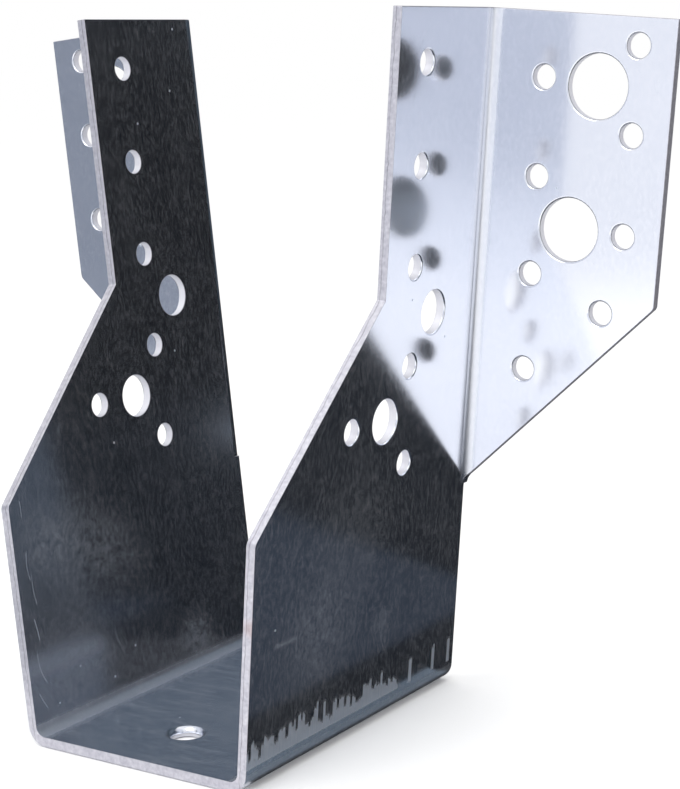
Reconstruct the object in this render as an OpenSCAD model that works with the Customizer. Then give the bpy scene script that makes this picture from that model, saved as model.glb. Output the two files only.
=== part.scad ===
// Face-fixed joist hanger: one galvanised steel sheet, blanked, punched and folded.
// +X is to the right across the joist, +Y points back to the header beam, +Z is up.
// The origin is below the middle of the part, on the plane that the seat rests on.

/* [Sheet] */
// Thickness of the sheet
sheet_t = 2; // [1.5:0.1:3]
// Inside radius of every fold
fold_r = 2; // [1:0.1:3]

/* [Seat] */
// Clear width between the sides where they meet the seat
joist_w = 50; // [38:1:100]
// Depth of the seat from its front edge to its rear edge
seat_depth = 76; // [72:1:110]
// Diameter of the hole in the seat
seat_hole_d = 6; // [4:0.5:10]
// Distance of that hole behind the front edge
seat_hole_back = 16.5; // [12:0.5:60]

/* [Sides] */
// Outward lean of each side, in degrees from upright
splay = 5.25; // [0:0.25:8]
// Height of a side along its own slope, from the underside to the top edge
side_h = 145; // [135:1:200]
// Height of the narrow upper part of a side
narrow_h = 56; // [50:1:70]
// Distance that the sloping front edge runs back
slope_run = 40; // [30:1:42]
// Height that the sloping front edge gains
slope_rise = 40; // [30:1:50]
// Radius of the corner at the foot of the sloping edge
corner_r = 2; // [0.5:0.1:5]

/* [Flanges] */
// Distance of the flanges' rear faces behind the seat's rear edge
flange_back = 2; // [0:0.1:4]
// Width of a flange outside its side
flange_w = 40; // [38:1:60]
// Length of a flange's upright outer edge
flange_outer_h = 56.5; // [52:0.5:70]
// Length of a flange along its fold, from the top edge to the foot of its slope
flange_fold_h = 99; // [90:0.5:115]
// Radius of the inside corner between a flange's slope and the side
fillet_r = 3; // [1:0.1:5]
// Radius of the corner at the foot of a flange's outer edge
flange_corner_r = 1.5; // [0.5:0.1:5]

/* [Holes] */
// Diameter of the nail holes
nail_d = 5; // [3:0.1:6]
// Spacing of the nail holes along a column
nail_pitch = 20; // [16:0.5:22]
// Diameter of the bolt holes in the sides
side_bolt_d = 9; // [6:0.5:11]
// Diameter of the bolt holes in the flanges
header_bolt_d = 13; // [8:0.5:14]
// Depth of the first nail hole in a side below its top edge
side_row = 10.5; // [8:0.5:16]
// Distance of a side's nail column behind the front edge
side_column = 50.5; // [48:0.5:54]
// Distance of a side's bolt holes before and behind that column
side_bolt_step = 8; // [7.5:0.5:9]
// Depth of the first nail hole of a flange's inner column below the top edge
flange_row = 13; // [10:0.5:16]
// Distance of a flange's inner nail column from the side
flange_column = 12; // [8:0.5:13]
// Depth of the uppermost outer nail hole below the top edge
outer_row = 5.5; // [5:0.5:8]
// Distance from the side of the lowest outer nail hole, and its depth below the top edge
low_nail = [28.5, 59];
// Distance from the side of the upper and lower flange bolt hole, and their depths
header_bolts = [[24, 14], [20, 43]];

/* [Edges] */
// Radius of the rolled rim that the punch leaves at the mouth of a hole
rim_r = 0.4; // [0.1:0.05:0.6]
// Radius of the drawn-in rim of the hole in the seat
seat_rim_r = 1.5; // [0.4:0.1:1.8]

/* [Hidden] */
$fn = 96;
// Length by which a cutting shape runs past the faces that it cuts
past = 1;
// Depth by which a rounding arc bites into the edges that it joins
bite = 0.002;
outer_r = fold_r + sheet_t;
seat_w = joist_w + 2 * sheet_t;
bend = 90 - splay;
front_h = side_h - narrow_h - slope_rise;
header_y = seat_depth + flange_back;
flange_y = header_y - sheet_t;
fold_y = flange_y - fold_r;
foot_s = side_h - flange_fold_h;
outer_s = side_h - flange_outer_h;
// Angle of a flange's sloping lower edge above the level
slope_a = atan2(outer_s - foot_s, flange_w);
// The arc of the inside corner touches the side's face at this height
fillet_s = foot_s - fillet_r * tan((90 - slope_a) / 2);

// Nail and bolt holes of one side: distance behind the front edge, depth below the top, diameter
side_holes = [
    for (i = [0:4]) [side_column, side_row + i * nail_pitch, nail_d],
    [side_column - nail_pitch, side_row + 3.5 * nail_pitch, nail_d],
    [side_column + side_bolt_step, side_row + 2.5 * nail_pitch, side_bolt_d],
    [side_column - side_bolt_step, side_row + 3.5 * nail_pitch, side_bolt_d]
];

// Nail and bolt holes of one flange: distance from the side, depth below the top, diameter
flange_holes = [
    for (i = [0:3]) [flange_column, flange_row + i * nail_pitch, nail_d],
    for (i = [0:1]) [flange_column + nail_pitch, flange_row + (i + 0.5) * nail_pitch, nail_d],
    [flange_column + nail_pitch, outer_row, nail_d],
    [low_nail[0], low_nail[1], nail_d],
    for (b = header_bolts) [b[0], b[1], header_bolt_d]
];

// What an arc of radius r leaves of an outline's corner at p: a and b are the directions of the two
// edges that leave the corner, and the arc bites into both, so that it crosses them cleanly
module corner_cut(p, a, b, r) {
    half = abs(a - b) / 2;
    middle = [cos((a + b) / 2), sin((a + b) / 2)];
    reach = (r - bite) / tan(half);
    centre = p + (r - bite) / sin(half) * middle;
    difference() {
        polygon([
            p - past * middle,
            p + reach * [cos(a), sin(a)],
            centre,
            p + reach * [cos(b), sin(b)]
        ]);
        translate(centre) circle(r);
    }
}

// Section of the right half across its folds, in the side's own frame:
// the side's outer face is x = 0, and the seat runs off to the left, square to the upright
module half_section() {
    seat_dir = 180 + splay;
    reach = seat_w / 2 + past;
    along = reach * [cos(seat_dir), sin(seat_dir)];
    inner = [-sheet_t, sheet_t * tan(bend / 2)];
    difference() {
        union() {
            polygon([
                [0, 0],
                [0, side_h],
                [-sheet_t, side_h],
                inner,
                inner + along,
                along
            ]);
            corner_cut(inner, 90, seat_dir, fold_r);
        }
        corner_cut([0, 0], 90, seat_dir, outer_r);
    }
}

// Outline of a side with the seat below it, drawn with depth across and height up
module side_outline() {
    slope = atan2(slope_rise, slope_run);
    difference() {
        polygon([
            [0, -seat_w],
            [seat_depth, -seat_w],
            [seat_depth, fillet_s],
            [fold_y, fillet_s],
            [fold_y, side_h],
            [slope_run, side_h],
            [slope_run, side_h - narrow_h],
            [0, front_h]
        ]);
        corner_cut([0, front_h], slope, -90, corner_r);
    }
}

// Outline of a flange with its fold, drawn with distance from the side across and height up
module flange_outline() {
    difference() {
        polygon([
            [-sheet_t - past, fillet_s],
            [0, fillet_s],
            [0, foot_s],
            [flange_w, outer_s],
            [flange_w, side_h],
            [-sheet_t - past, side_h]
        ]);
        corner_cut([flange_w, outer_s], 90, 180 + slope_a, flange_corner_r);
    }
    corner_cut([0, foot_s], slope_a, -90, fillet_r);
}

// A punch for a hole of diameter d along z, from the face z = 0 down through the sheet,
// flared at its mouth by a rim of radius r
module punch(d, r) {
    translate([0, 0, -sheet_t - past]) cylinder(d = d, h = sheet_t + 2 * past);
    rotate_extrude()
        difference() {
            translate([0, -r]) square([d / 2 + r, r + past]);
            translate([d / 2 + r, -r]) circle(r);
        }
}

// Right side and half of the seat, in the side's own frame
module side_and_seat() {
    intersection() {
        translate([0, header_y, 0])
            rotate([90, 0, 0]) linear_extrude(header_y) half_section();
        translate([-seat_w, 0, 0])
            rotate([90, 0, 90]) linear_extrude(seat_w + past) side_outline();
    }
}

// Right flange and the fold that joins it to the side, in the side's own frame
module flange_with_fold() {
    intersection() {
        union() {
            translate([fold_r, fold_y, 0])
                rotate([0, 0, 90])
                    rotate_extrude(angle = 90)
                        translate([fold_r, 0]) square([sheet_t, side_h]);
            translate([fold_r, flange_y, 0]) cube([flange_w - fold_r, sheet_t, side_h]);
        }
        translate([0, header_y + past, 0])
            rotate([90, 0, 0]) linear_extrude(header_y + 2 * past) flange_outline();
    }
}

// The right half with its holes: the punch enters from the sides' outer faces
module punched_half() {
    difference() {
        union() {
            side_and_seat();
            flange_with_fold();
        }
        for (h = side_holes)
            translate([0, h[0], side_h - h[1]]) rotate([0, 90, 0]) punch(h[2], rim_r);
        for (h = flange_holes)
            translate([h[0], flange_y, side_h - h[1]]) rotate([90, 0, 0]) punch(h[2], rim_r);
    }
}

// The right half stands beside the plane x = 0, where its mirror image meets it
module right_half() {
    difference() {
        translate([seat_w / 2, 0, 0]) rotate([0, splay, 0]) punched_half();
        translate([-side_h, -past, -past]) cube([side_h, header_y + 2 * past, 2 * side_h]);
        translate([0, seat_hole_back, sheet_t]) punch(seat_hole_d, seat_rim_r);
    }
}

module joist_hanger() {
    color("#b4bcc6")
        translate([0, -header_y / 2, 0]) {
            right_half();
            mirror([1, 0, 0]) right_half();
        }
}

joist_hanger();
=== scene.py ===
import math

import bpy
from mathutils import Matrix, Vector

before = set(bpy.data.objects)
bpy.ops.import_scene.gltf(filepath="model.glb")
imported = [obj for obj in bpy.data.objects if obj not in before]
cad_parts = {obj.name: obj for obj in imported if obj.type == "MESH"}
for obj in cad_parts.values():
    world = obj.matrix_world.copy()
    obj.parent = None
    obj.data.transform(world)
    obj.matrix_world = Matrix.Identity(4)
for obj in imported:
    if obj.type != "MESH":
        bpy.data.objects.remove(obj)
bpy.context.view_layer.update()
MM = 0.001
scene = bpy.context.scene
scene.view_settings.view_transform = "Standard"

# The sheet: one blank of galvanised steel, 2 mm thick, punched and folded cold into seat, sides and flanges.
# The shears and the punch leave each rim slightly rolled, so the sharp edges are broken by a small bevel.
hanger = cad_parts["joist_hanger"]
sheet_t, fold_r = 2.0 * MM, 2.0 * MM
splay = math.radians(5.25)
half_width, half_depth = 27.0 * MM, 39.0 * MM
same_corner, rim_break = 0.001 * MM, 0.1 * MM
same_plane, sharp_edge = math.radians(0.3), math.radians(35)
zinc_slot, cut_slot, wall_slot = 0, 1, 2

weld = hanger.modifiers.new("join_facets", "WELD")
weld.merge_threshold = same_corner
flat = hanger.modifiers.new("whole_faces", "DECIMATE")
flat.decimate_type = "DISSOLVE"
flat.angle_limit = same_plane
rim = hanger.modifiers.new("rolled_rims", "BEVEL")
rim.width = rim_break
rim.segments = 2
rim.limit_method = "ANGLE"
rim.angle_limit = sharp_edge
rim.use_clamp_overlap = False
rim.material = cut_slot
even = hanger.modifiers.new("even_shading", "WEIGHTED_NORMAL")
even.keep_sharp = False


def linear(hex_colour):
    """An sRGB hex colour as the linear RGBA that the shaders take."""
    channels = [int(hex_colour[i:i + 2], 16) / 255 for i in (1, 3, 5)]
    return [c / 12.92 if c <= 0.04045 else ((c + 0.055) / 1.055) ** 2.4 for c in channels] + [1.0]


def add(tree, kind, inputs=None, **settings):
    """Adds a shader node with its settings; an input is a value or another node's output."""
    made = tree.nodes.new("ShaderNode" + kind)
    for name, value in settings.items():
        setattr(made, name, value)
    for name, value in (inputs or {}).items():
        if isinstance(value, bpy.types.NodeSocket):
            tree.links.new(value, made.inputs[name])
        else:
            made.inputs[name].default_value = value
    return made


# Galvanised steel: hot-dipped zinc, rolled smooth. It mirrors what stands near it a little blurred. A fine
# grain and soft clouds in the zinc mottle that mirror, and handling has left matt scuffs, scratches
# and pale specks.
zinc_pale, zinc_dull, zinc_worn = "#eff1f8", "#e6e9f1", "#cbd5e3"
grain_width, patch_width, cloud_width = 0.7 * MM, 5 * MM, 24 * MM
grain_stretch, grain_height = (1, 1, 0.5), 0.02 * MM
zinc = bpy.data.materials.new("galvanised_steel")
zinc.use_nodes = True
tree = zinc.node_tree
shader = tree.nodes["Principled BSDF"]
spot = add(tree, "TexCoord")
place = spot.outputs["Object"]
facing = add(tree, "SeparateXYZ", {"Vector": spot.outputs["Normal"]}).outputs
axes = add(tree, "SeparateXYZ", {"Vector": place}).outputs
wide = add(tree, "Math", {0: axes["X"]}, operation="ABSOLUTE").outputs[0]
upright = add(tree, "VectorMath", {0: place, 1: grain_stretch}, operation="MULTIPLY").outputs[0]
grain = add(tree, "TexNoise", {"Vector": upright, "Scale": 1 / grain_width,
                               "Detail": 3, "Roughness": 0.6}).outputs["Fac"]
patch = add(tree, "TexNoise", {"Vector": upright, "Scale": 1 / patch_width,
                               "Detail": 4, "Roughness": 0.65}).outputs["Fac"]
cloud = add(tree, "TexNoise", {"Vector": place, "Scale": 1 / cloud_width,
                               "Detail": 3, "Roughness": 0.55}).outputs["Fac"]

# Matt scuffs from stacking and handling, broken up by fine fibres: middle and radius in mm, strength.
fibre_width = 1.4 * MM
scuffs = [
    ((-28.6, -29.5, 40), 12, 0.24), ((-28.2, -19, 37), 15, 0.26), ((-27.5, -8, 33), 13, 0.2),
    ((-25.7, 14.5, 9), 8, 0.36), ((-27, -25, 15), 19, 0.12), ((29, 6.5, 21), 6, 0.16),
    ((29.5, -16, 26), 18, 0.2), ((31, -5, 45), 18, 0.12), ((2, -8, 2), 18, 0.12),
    ((8, 15, 2), 13, 0.14), ((-60, 37, 100), 12, 0.2),
]
scuffed = 0.0
for middle, radius, strength in scuffs:
    away = add(tree, "VectorMath", {0: place, 1: Vector(middle) * MM}, operation="DISTANCE").outputs["Value"]
    near = add(tree, "MapRange",
               {"Value": away, "From Min": 0.0, "From Max": radius * MM, "To Min": strength, "To Max": 0.0},
               interpolation_type="SMOOTHSTEP").outputs[0]
    scuffed = add(tree, "Math", {0: near, 1: scuffed}, operation="ADD").outputs[0]
fibre = add(tree, "TexNoise", {"Vector": place, "Scale": 1 / fibre_width, "Detail": 5,
                               "Roughness": 0.75, "Distortion": 0.6}).outputs["Fac"]
fibre = add(tree, "MapRange", {"Value": fibre, "From Min": 0.38, "From Max": 0.64, "To Min": 0.1}).outputs[0]
scuffed = add(tree, "Math", {0: scuffed, 1: fibre}, operation="MULTIPLY").outputs[0]

# Fine matt streaks that run across the seat.
streak_width, streak_stretch, streak_strength = 1.8 * MM, (0.14, 1, 1), 0.24
level = 0.98
streaks = add(tree, "VectorMath", {0: place, 1: streak_stretch}, operation="MULTIPLY").outputs[0]
streaks = add(tree, "TexNoise", {"Vector": streaks, "Scale": 1 / streak_width,
                                 "Detail": 4, "Roughness": 0.65}).outputs["Fac"]
streaks = add(tree, "MapRange", {"Value": streaks, "From Min": 0.46, "From Max": 0.74,
                                 "To Min": 0.0, "To Max": streak_strength}).outputs[0]
on_seat = add(tree, "Math", {0: facing["Z"], 1: level}, operation="GREATER_THAN").outputs[0]
streaks = add(tree, "Math", {0: streaks, 1: on_seat}, operation="MULTIPLY").outputs[0]
scuffed = add(tree, "Math", {0: scuffed, 1: streaks}, operation="ADD").outputs[0]

# Drag marks that the folding die left on the right side's outer face above the bottom fold: a solid matt band
# along the fold, narrow teeth of uneven height that stand out of it like a comb's, and three single marks
# at the rear.
die_foot, foot_blur = 4.6 * MM, 0.4 * MM
band_wave, band_low, band_high = 4.5 * MM, 1.5 * MM, 3.2 * MM
tooth_width, tooth_rise, tooth_blur = 0.8 * MM, 4.4 * MM, 1.2 * MM
teeth_fade, teeth_end = 10 * MM, 17 * MM
rear_marks, mark_half_width, mark_rise = (19.0, 28.3, 34.8), 0.6 * MM, 6.0 * MM
drawn_width, pressed_least, pressed_most, fibre_share = 0.5 * MM, 0.4, 0.78, 0.16
off_middle, sideways = 20 * MM, 0.5
teeth = add(tree, "TexVoronoi", {"W": axes["Y"], "Scale": 1 / tooth_width}, voronoi_dimensions="1D")
chance = add(tree, "SeparateXYZ", {"Vector": teeth.outputs["Color"]}).outputs["Y"]
band = add(tree, "TexNoise", {"W": axes["Y"], "Scale": 1 / band_wave, "Detail": 1},
           noise_dimensions="1D").outputs["Fac"]
band = add(tree, "MapRange", {"Value": band, "From Min": 0.3, "From Max": 0.7,
                              "To Min": band_low, "To Max": band_high}).outputs[0]
tops = add(tree, "Math", {0: chance, 1: tooth_rise, 2: band}, operation="MULTIPLY_ADD").outputs[0]
fewer = add(tree, "MapRange", {"Value": axes["Y"], "From Min": teeth_fade, "From Max": teeth_end,
                               "To Min": 1.0, "To Max": 0.0}).outputs[0]
tops = add(tree, "Math", {0: tops, 1: fewer}, operation="MULTIPLY").outputs[0]
for middle in rear_marks:
    mark = add(tree, "Math", {0: axes["Y"], 1: middle * MM, 2: mark_half_width},
               operation="COMPARE").outputs[0]
    tops = add(tree, "Math", {0: mark, 1: mark_rise, 2: tops}, operation="MULTIPLY_ADD").outputs[0]
above = add(tree, "Math", {0: axes["Z"], 1: die_foot}, operation="SUBTRACT").outputs[0]
below = add(tree, "Math", {0: tops, 1: above}, operation="SUBTRACT").outputs[0]
comb = add(tree, "MapRange", {"Value": below, "From Min": 0.0, "From Max": tooth_blur}).outputs[0]
foot = add(tree, "MapRange", {"Value": above, "From Min": 0.0, "From Max": foot_blur}).outputs[0]
to_right = add(tree, "Math", {0: facing["X"], 1: sideways}, operation="GREATER_THAN").outputs[0]
on_right = add(tree, "Math", {0: axes["X"], 1: to_right}, operation="MULTIPLY").outputs[0]
on_right = add(tree, "Math", {0: on_right, 1: off_middle}, operation="GREATER_THAN").outputs[0]
drawn = add(tree, "TexNoise", {"W": axes["Y"], "Scale": 1 / drawn_width, "Detail": 2},
            noise_dimensions="1D").outputs["Fac"]
pressed = add(tree, "MapRange", {"Value": drawn, "From Min": 0.3, "From Max": 0.7,
                                 "To Min": pressed_least, "To Max": pressed_most}).outputs[0]
pressed = add(tree, "Math", {0: fibre, 1: fibre_share, 2: pressed}, operation="MULTIPLY_ADD").outputs[0]
for part in (foot, on_right, pressed):
    comb = add(tree, "Math", {0: comb, 1: part}, operation="MULTIPLY").outputs[0]

# Single scratches: side, middle (y, z) and run (y, z) in mm, bow and width in mm, strength.
# Each lies on the left side's inner face or the right side's outer face, bows like a flat arch and tapers.
scratches = [
    (-1, (-35.8, 47.8), (0.1, -4.2), 0.2, 0.3, 0.5), (-1, (-35.3, 36.2), (0.2, -6.8), -0.6, 0.3, 0.65),
    (-1, (-35.3, 23.0), (1.0, -5.6), 0.1, 0.35, 0.6), (-1, (-34.9, 15.1), (2.0, -7.8), -0.8, 0.3, 0.7),
    (-1, (-35.9, 8.4), (2.4, -4.4), -0.1, 0.35, 0.5), (-1, (-34.4, 31.0), (0.7, -8.0), -0.5, 0.25, 0.45),
    (1, (7.5, 19.7), (3.5, -11.8), -1.5, 0.4, 0.3), (1, (-27.6, 27.0), (8.9, -0.3), 0.0, 1.6, 0.25),
]
for side, (y, z), (run_y, run_z), bow, width, strength in scratches:
    length = math.hypot(run_y, run_z)
    from_middle = add(tree, "VectorMath", {0: place, 1: Vector((0, y, z)) * MM},
                      operation="SUBTRACT").outputs[0]
    along = add(tree, "VectorMath", {0: from_middle, 1: Vector((0, run_y, run_z)) / (length ** 2 * MM)},
                operation="DOT_PRODUCT").outputs["Value"]
    across = add(tree, "VectorMath", {0: from_middle, 1: Vector((0, -run_z, run_y)) / length},
                 operation="DOT_PRODUCT").outputs["Value"]
    arch = add(tree, "Math", {0: along, 1: along}, operation="MULTIPLY").outputs[0]
    arch = add(tree, "Math", {0: arch, 1: -4.0, 2: 1.0}, operation="MULTIPLY_ADD").outputs[0]
    across = add(tree, "Math", {0: arch, 1: -bow * MM, 2: across}, operation="MULTIPLY_ADD").outputs[0]
    across = add(tree, "Math", {0: across}, operation="ABSOLUTE").outputs[0]
    line = add(tree, "MapRange", {"Value": across, "From Min": 0.0, "From Max": width / 2 * MM,
                                  "To Min": strength, "To Max": 0.0}).outputs[0]
    taper = add(tree, "MapRange", {"Value": arch, "From Min": 0.0, "From Max": 0.5}).outputs[0]
    this_side = add(tree, "Math", {0: axes["X"], 1: side}, operation="MULTIPLY").outputs[0]
    this_side = add(tree, "Math", {0: this_side, 1: off_middle}, operation="GREATER_THAN").outputs[0]
    for part in (taper, this_side, to_right):
        line = add(tree, "Math", {0: line, 1: part}, operation="MULTIPLY").outputs[0]
    scuffed = add(tree, "Math", {0: scuffed, 1: line}, operation="MAXIMUM").outputs[0]

# Hair scratches, most of them upright and broken off here and there, and specks of white zinc bloom.
hair_wave, hair_stretch, hairs_per_wave = 7 * MM, (1, 1, 0.16), 14.0
hair_width, hair_strength, hair_break = 0.12, 0.2, 6 * MM
speck_spacing, speck_core, speck_rim, without_speck = 6 * MM, 0.025, 0.05, 0.6
hairs = add(tree, "VectorMath", {0: place, 1: hair_stretch}, operation="MULTIPLY").outputs[0]
hairs = add(tree, "TexNoise", {"Vector": hairs, "Scale": 1 / hair_wave, "Detail": 1}).outputs["Fac"]
hairs = add(tree, "Math", {0: hairs, 1: hairs_per_wave}, operation="MULTIPLY").outputs[0]
hairs = add(tree, "Math", {0: hairs, 1: 1.0}, operation="PINGPONG").outputs[0]
hairs = add(tree, "MapRange", {"Value": hairs, "From Min": 0.0, "From Max": hair_width,
                               "To Min": hair_strength, "To Max": 0.0}).outputs[0]
broken = add(tree, "TexNoise", {"Vector": place, "Scale": 1 / hair_break, "Detail": 2}).outputs["Fac"]
broken = add(tree, "MapRange", {"Value": broken, "From Min": 0.6, "From Max": 0.72}).outputs[0]
hairs = add(tree, "Math", {0: hairs, 1: broken}, operation="MULTIPLY").outputs[0]
cells = add(tree, "TexVoronoi", {"Vector": place, "Scale": 1 / speck_spacing}).outputs
speck = add(tree, "MapRange", {"Value": cells["Distance"], "From Min": speck_core, "From Max": speck_rim,
                               "To Min": 1.0, "To Max": 0.0}).outputs[0]
chosen = add(tree, "SeparateXYZ", {"Vector": cells["Color"]}).outputs["X"]
chosen = add(tree, "Math", {0: chosen, 1: without_speck}, operation="GREATER_THAN").outputs[0]
speck = add(tree, "Math", {0: speck, 1: chosen}, operation="MULTIPLY").outputs[0]
worn = scuffed
for mark in (comb, speck, hairs):
    worn = add(tree, "Math", {0: worn, 1: mark}, operation="MAXIMUM", use_clamp=True).outputs[0]

# Folding stretches the zinc, so it is matt along the folds: a line runs along each fold at the middle of the
# sheet's thickness, and what lies near it is folded. On the flange's fold only the hollow side is matt.
fold_core, fold_rim = 2.5 * MM, 3.9 * MM
flange_foot, flange_clear = 44 * MM, 48 * MM
from_side = add(tree, "Math", {0: wide, 1: math.cos(splay), 2: -half_width * math.cos(splay)},
                operation="MULTIPLY_ADD").outputs[0]
from_side = add(tree, "Math", {0: axes["Z"], 1: -math.sin(splay), 2: from_side},
                operation="MULTIPLY_ADD").outputs[0]
on_flange = add(tree, "MapRange", {"Value": axes["Z"],
                                   "From Min": flange_foot, "From Max": flange_clear}).outputs[0]
hollow = add(tree, "MapRange", {"Value": facing["Y"], "From Min": 0.0, "From Max": -0.15}).outputs[0]
hollow = add(tree, "Math", {0: hollow, 1: on_flange}, operation="MULTIPLY").outputs[0]
folded = 0.0
for across, line_across, up, line_up, where in (
        (wide, half_width - sheet_t / 2, axes["Z"], sheet_t / 2, 1.0),
        (from_side, -sheet_t / 2, axes["Y"], half_depth - sheet_t / 2, hollow)):
    gap = add(tree, "CombineXYZ", {"X": across, "Y": up}).outputs[0]
    gap = add(tree, "VectorMath", {0: gap, 1: (line_across, line_up, 0)},
              operation="DISTANCE").outputs["Value"]
    gap = add(tree, "MapRange", {"Value": gap, "From Min": fold_core, "From Max": fold_rim,
                                 "To Min": 1.0, "To Max": 0.0}, interpolation_type="SMOOTHSTEP").outputs[0]
    gap = add(tree, "Math", {0: gap, 1: where}, operation="MULTIPLY").outputs[0]
    folded = add(tree, "Math", {0: gap, 1: folded}, operation="MAXIMUM").outputs[0]

# Grain and clouds dull the mirror here and there; worn and folded places are matt and scatter the light.
mottle = 0.0
for pattern, low, high, share in (
        (grain, 0.44, 0.74, 0.76), (patch, 0.4, 0.7, 0.16), (cloud, 0.34, 0.66, 0.08)):
    spread = add(tree, "MapRange", {"Value": pattern, "From Min": low, "From Max": high}).outputs[0]
    mottle = add(tree, "Math", {0: spread, 1: share, 2: mottle}, operation="MULTIPLY_ADD").outputs[0]
shade = add(tree, "Mix", {"Factor": mottle, "A": linear(zinc_dull), "B": linear(zinc_pale)},
            data_type="RGBA").outputs[2]
shade = add(tree, "Mix", {"Factor": worn, "A": shade, "B": linear(zinc_worn)}, data_type="RGBA").outputs[2]
tree.links.new(shade, shader.inputs["Base Color"])
rough = add(tree, "MapRange", {"Value": mottle, "To Min": 0.125, "To Max": 0.165}).outputs[0]
haze = add(tree, "MapRange", {"Value": mottle, "To Min": 0.014, "To Max": 0.07}).outputs[0]
for matt, rougher, hazier in ((worn, 0.36, 0.3), (folded, 0.2, 0.03)):
    rough = add(tree, "Math", {0: matt, 1: rougher, 2: rough}, operation="MULTIPLY_ADD").outputs[0]
    haze = add(tree, "Math", {0: matt, 1: hazier, 2: haze}, operation="MULTIPLY_ADD").outputs[0]
tree.links.new(rough, shader.inputs["Roughness"])
metal = add(tree, "Math", {0: 1.0, 1: haze}, operation="SUBTRACT").outputs[0]
tree.links.new(metal, shader.inputs["Metallic"])
relief = add(tree, "Bump", {"Height": grain, "Strength": 0.05, "Distance": grain_height}).outputs["Normal"]
tree.links.new(relief, shader.inputs["Normal"])

# The blank's cut edges: the shears smear zinc over the broken steel, so they are pale, mottled and matt
# beside the bright faces, with a dark line where the shear ended and the break began, and one faint stain
# of rust.
edge_dull, edge_pale, break_dark, rust_brown = "#b2b1bc", "#cfced6", "#6f6e78", "#b08f8a"
torn_width, wander_width, wander_reach = 0.9 * MM, 3 * MM, 0.9 * MM
break_depth, break_half_width = 1.75 * MM, 0.09 * MM
rust_middle, rust_core, rust_rim, rust_strength = Vector((29.9, -39, 32.7)) * MM, 0.4 * MM, 2.6 * MM, 0.4
cut = bpy.data.materials.new("sheared_steel")
cut.use_nodes = True
tree = cut.node_tree
shader = tree.nodes["Principled BSDF"]
shader.inputs["Metallic"].default_value = 0.7
shader.inputs["Roughness"].default_value = 0.38
place = add(tree, "TexCoord").outputs["Object"]
axes = add(tree, "SeparateXYZ", {"Vector": place}).outputs
torn = add(tree, "TexNoise", {"Vector": place, "Scale": 1 / torn_width,
                              "Detail": 3, "Roughness": 0.6}).outputs["Fac"]
torn = add(tree, "MapRange", {"Value": torn, "From Min": 0.3, "From Max": 0.7}).outputs[0]
shade = add(tree, "Mix", {"Factor": torn, "A": linear(edge_dull), "B": linear(edge_pale)},
            data_type="RGBA").outputs[2]
wide = add(tree, "Math", {0: axes["X"]}, operation="ABSOLUTE").outputs[0]
outer = add(tree, "Math", {0: axes["Z"], 1: math.tan(splay), 2: half_width},
            operation="MULTIPLY_ADD").outputs[0]
deep = add(tree, "Math", {0: outer, 1: wide}, operation="SUBTRACT").outputs[0]
wander = add(tree, "TexNoise", {"Vector": place, "Scale": 1 / wander_width, "Detail": 3}).outputs["Fac"]
deep = add(tree, "Math", {0: wander, 1: wander_reach, 2: deep}, operation="MULTIPLY_ADD").outputs[0]
deep = add(tree, "Math", {0: deep, 1: break_depth, 2: break_half_width}, operation="COMPARE").outputs[0]
faint = add(tree, "Math", {0: deep, 1: wander}, operation="MULTIPLY").outputs[0]
shade = add(tree, "Mix", {"Factor": faint, "A": shade, "B": linear(break_dark)}, data_type="RGBA").outputs[2]
away = add(tree, "VectorMath", {0: place, 1: rust_middle}, operation="DISTANCE").outputs["Value"]
rust = add(tree, "MapRange",
           {"Value": away, "From Min": rust_core, "From Max": rust_rim, "To Min": rust_strength, "To Max": 0.0},
           interpolation_type="SMOOTHSTEP").outputs[0]
shade = add(tree, "Mix", {"Factor": rust, "A": shade, "B": linear(rust_brown)}, data_type="RGBA").outputs[2]
tree.links.new(shade, shader.inputs["Base Color"])

# The holes' walls: the punch drags zinc from the face over the bare steel, so they are pale and quite matt.
# They catch the white of the floor and the sky.
wall = bpy.data.materials.new("punched_zinc")
wall.use_nodes = True
shader = wall.node_tree.nodes["Principled BSDF"]
shader.inputs["Base Color"].default_value = linear("#e2e2e9")
shader.inputs["Metallic"].default_value = 0.2
shader.inputs["Roughness"].default_value = 0.42

# Which face is which: the rolled faces of the sheet keep their zinc, and all others were cut. Cut faces that
# touch form rings: a ring no wider than the widest hole lines a hole, the others run round the blank.
slack, same_spot, widest_hole = 0.1 * MM, 0.01 * MM, 14.5 * MM
leaning, end_on, nearly_nil = 0.2, 0.98, 0.02
sheet = hanger.data


def is_rolled_face(centre, normal):
    """True where a face is the rolled surface of the sheet and not a cut edge or a hole's wall."""
    side = 1 if centre.x > 0 else -1
    across = side * math.cos(splay) * normal.x - math.sin(splay) * normal.z
    along = side * math.sin(splay) * normal.x + math.cos(splay) * normal.z
    from_side = side * math.cos(splay) * centre.x - math.sin(splay) * centre.z - half_width * math.cos(splay)
    flange_y = half_depth - sheet_t
    on_flange = ((centre.y > flange_y + sheet_t / 2 and normal.y > leaning)
                 or (centre.y > flange_y - slack and from_side > slack and normal.y < -leaning))
    on_side = abs(across) > leaning and abs(from_side) < sheet_t + slack and abs(normal.y) < end_on
    on_seat = abs(normal.z) > leaning and centre.z < sheet_t + slack
    near_seat = (centre.z < sheet_t + 2 * fold_r and abs(normal.y) < nearly_nil
                 and abs(centre.x) > half_width - sheet_t - 2 * fold_r)
    near_flange = (centre.y > flange_y - 2 * fold_r and abs(along) < nearly_nil
                   and -slack - sheet_t < from_side < fold_r + sheet_t)
    return on_flange or on_side or on_seat or near_seat or near_flange


def corner_spot(corner):
    """A mesh corner's place, rounded so that corners at one spot are equal."""
    return tuple(round(c / same_spot) for c in sheet.vertices[corner].co)


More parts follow.
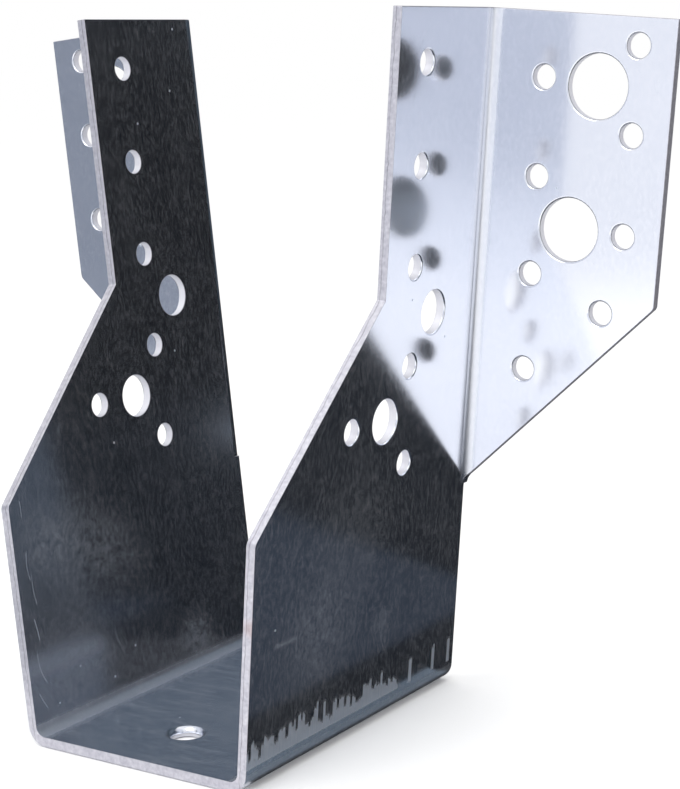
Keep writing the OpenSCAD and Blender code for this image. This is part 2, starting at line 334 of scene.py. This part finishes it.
cut_faces = {face.index for face in sheet.polygons if not is_rolled_face(face.center, face.normal)}
touching = {}
for index in cut_faces:
    for corner in sheet.polygons[index].vertices:
        touching.setdefault(corner_spot(corner), []).append(index)
hole_walls, unseen = set(), set(cut_faces)
while unseen:
    ring, waiting = set(), [min(unseen)]
    while waiting:
        index = waiting.pop()
        if index in ring:
            continue
        ring.add(index)
        for corner in sheet.polygons[index].vertices:
            waiting += touching[corner_spot(corner)]
    unseen -= ring
    corners = [sheet.vertices[corner].co for index in ring for corner in sheet.polygons[index].vertices]
    if all(max(c[i] for c in corners) - min(c[i] for c in corners) < widest_hole for i in range(3)):
        hole_walls |= ring

sheet.materials.clear()
for material in (zinc, cut, wall):
    sheet.materials.append(material)
for face in sheet.polygons:
    cut_kind = wall_slot if face.index in hole_walls else cut_slot
    face.material_index = cut_kind if face.index in cut_faces else zinc_slot

# The studio: a white floor under an even white sky, and one soft lamp above the front.
# The floor lies a hair below the seat and carries the hanger's soft shadow.
floor_side, floor_z = 40.0, -0.0002
lamp_aim = Vector((0, 0, 0.05))


def card(name, width, height, place, facing, colour, turn=0.0):
    """A card with its middle at place, facing a direction; its height runs up, or back on the floor."""
    mesh = bpy.data.meshes.new(name)
    w, h = width / 2, height / 2
    mesh.from_pydata([(-w, -h, 0), (w, -h, 0), (w, h, 0), (-w, h, 0)], [], [(0, 1, 2, 3)])
    made = bpy.data.objects.new(name, mesh)
    scene.collection.objects.link(made)
    made.matrix_world = (
        Matrix.Translation(place)
        @ Vector(facing).to_track_quat("Z", "Y").to_matrix().to_4x4()
        @ Matrix.Rotation(math.radians(turn), 4, "Z")
    )
    paint = bpy.data.materials.new(name)
    paint.use_nodes = True
    matt = paint.node_tree.nodes["Principled BSDF"].inputs
    matt["Base Color"].default_value = linear(colour)
    matt["Roughness"].default_value = 1.0
    matt["Specular IOR Level"].default_value = 0.0
    mesh.materials.append(paint)
    return made


card("floor", floor_side, floor_side, (0, 0, floor_z), (0, 0, 1), "#ffffff")

world = bpy.data.worlds.new("even_white_sky")
world.use_nodes = True
world.node_tree.nodes["Background"].inputs["Color"].default_value = (1, 1, 1, 1)
world.node_tree.nodes["Background"].inputs["Strength"].default_value = 1.0
scene.world = world

lamp = bpy.data.objects.new("soft_lamp", bpy.data.lights.new("soft_lamp", "AREA"))
lamp.data.size = 0.6
lamp.data.energy = 3.0
lamp.location = (0.0, -0.5, 0.75)
lamp.rotation_mode = "QUATERNION"
lamp.rotation_quaternion = (lamp.location - lamp_aim).to_track_quat("Z", "Y")
scene.collection.objects.link(lamp)

# Flags, as a studio sets them round bright metal so that its faces part from each other: grey cards that only
# the metal's reflections show, so they are painted dark and pale reflections where the camera sees white floor
# and sky. Name, width, height, middle, facing, colour, and turn in degrees.
dark, mid = "#0e1014", "#525d68"
for name, width, height, place, facing, colour, turn in [
    ("flag_floor", 3.2, 2.64, (0.4, 1.285, 0.0003), (0, 0, 1), "#12161c", 0),
    ("flag_floor_right", 0.16, 0.15, (0.125, 0.015, 0.0006), (0, 0, 1), "#2c333e", 0),
    ("flag_fold", 0.006, 0.075, (0.030, -0.0005, 0.0006), (0, 0, 1), "#66727d", 0),
    ("flag_right", 1.1, 0.36, (0.892, 0.461, 0.18), (-0.7, -0.7, 0), dark, 0),
    ("flag_right_upper", 1.1, 1.2, (0.892, 0.461, 0.96), (-0.7, -0.7, 0), mid, 0),
    ("flag_rear", 1.6, 1.2, (0.8, 2.2, 0.6), (-0.3, -1, 0), dark, 0),
    ("flag_rear_upper", 1.3, 1.4, (0.2, 0.95, 0.95), (-0.2, -0.95, -0.2), mid, 0),
    ("flag_left", 1.6, 0.36, (-0.45, 0.85, 0.18), (0.47, -0.88, 0), "#36404a", 0),
    ("flag_left_upper", 1.6, 1.2, (-0.45, 0.85, 0.96), (0.47, -0.88, 0), "#3c4650", 0),
    ("card_strip_near", 0.045, 0.12, (0.326, 0.516, 0.0006), (0, 0, 1), "#a3abb7", -30.5),
    ("card_strip_far", 0.06, 1.1, (0.78, 1.33, 0.0006), (0, 0, 1), "#a0a8b4", -30.5),
    ("card_far_right", 1.1, 0.3, (0.70, -0.55, 0.15), (0, 1, 0), "#d3d7e0", 0),
    ("card_right_foot", 1.1, 0.22, (0.60, -0.44, 0.0004), (0, 0, 1), "#f0f2f6", 0),
    ("card_far_left", 0.6, 0.3, (-0.15, -0.6, 0.15), (0, 1, 0), "#eaecf2", 0),
    ("flag_far_left", 0.8, 0.3, (-0.86, -0.6, 0.15), (0, 1, 0), "#6a727d", 0),
    ("flag_floor_left", 0.41, 0.185, (-0.26, -0.0275, 0.0003), (0, 0, 1), "#7d858f", 0),
    ("card_front", 0.15, 0.26, (-0.27, -0.20, 0.13), (0.68, 0.73, 0), "#868d9a", 0),
]:
    flag = card(name, width, height, place, facing, colour, turn)
    # Hidden from the camera, from diffuse light and from shadows: each card is only a painted reflection on the
    # metal.
    flag.visible_camera = False
    flag.visible_diffuse = False
    flag.visible_shadow = False

# The camera: its place, its turn and its focal length were fitted together to the photograph's edges
# and holes. The focal length is in pixels of a picture 680 pixels wide.
image_width, focal_pixels = 680, 1862.9
azimuth, elevation, roll = (math.radians(a) for a in (34.01, 10.287, -1.546))
camera_place = Vector((227.66, -300.96, 135.5)) * MM
camera = bpy.data.objects.new("camera", bpy.data.cameras.new("camera"))
camera.data.sensor_fit = "HORIZONTAL"
camera.data.sensor_width = 36.0
camera.data.lens = focal_pixels * camera.data.sensor_width / image_width
camera.data.clip_start = 0.01
camera.matrix_world = (
    Matrix.Translation(camera_place)
    @ Matrix.Rotation(azimuth, 4, "Z")
    @ Matrix.Rotation(math.pi / 2 - elevation, 4, "X")
    @ Matrix.Rotation(roll, 4, "Z")
)
scene.collection.objects.link(camera)
scene.camera = camera
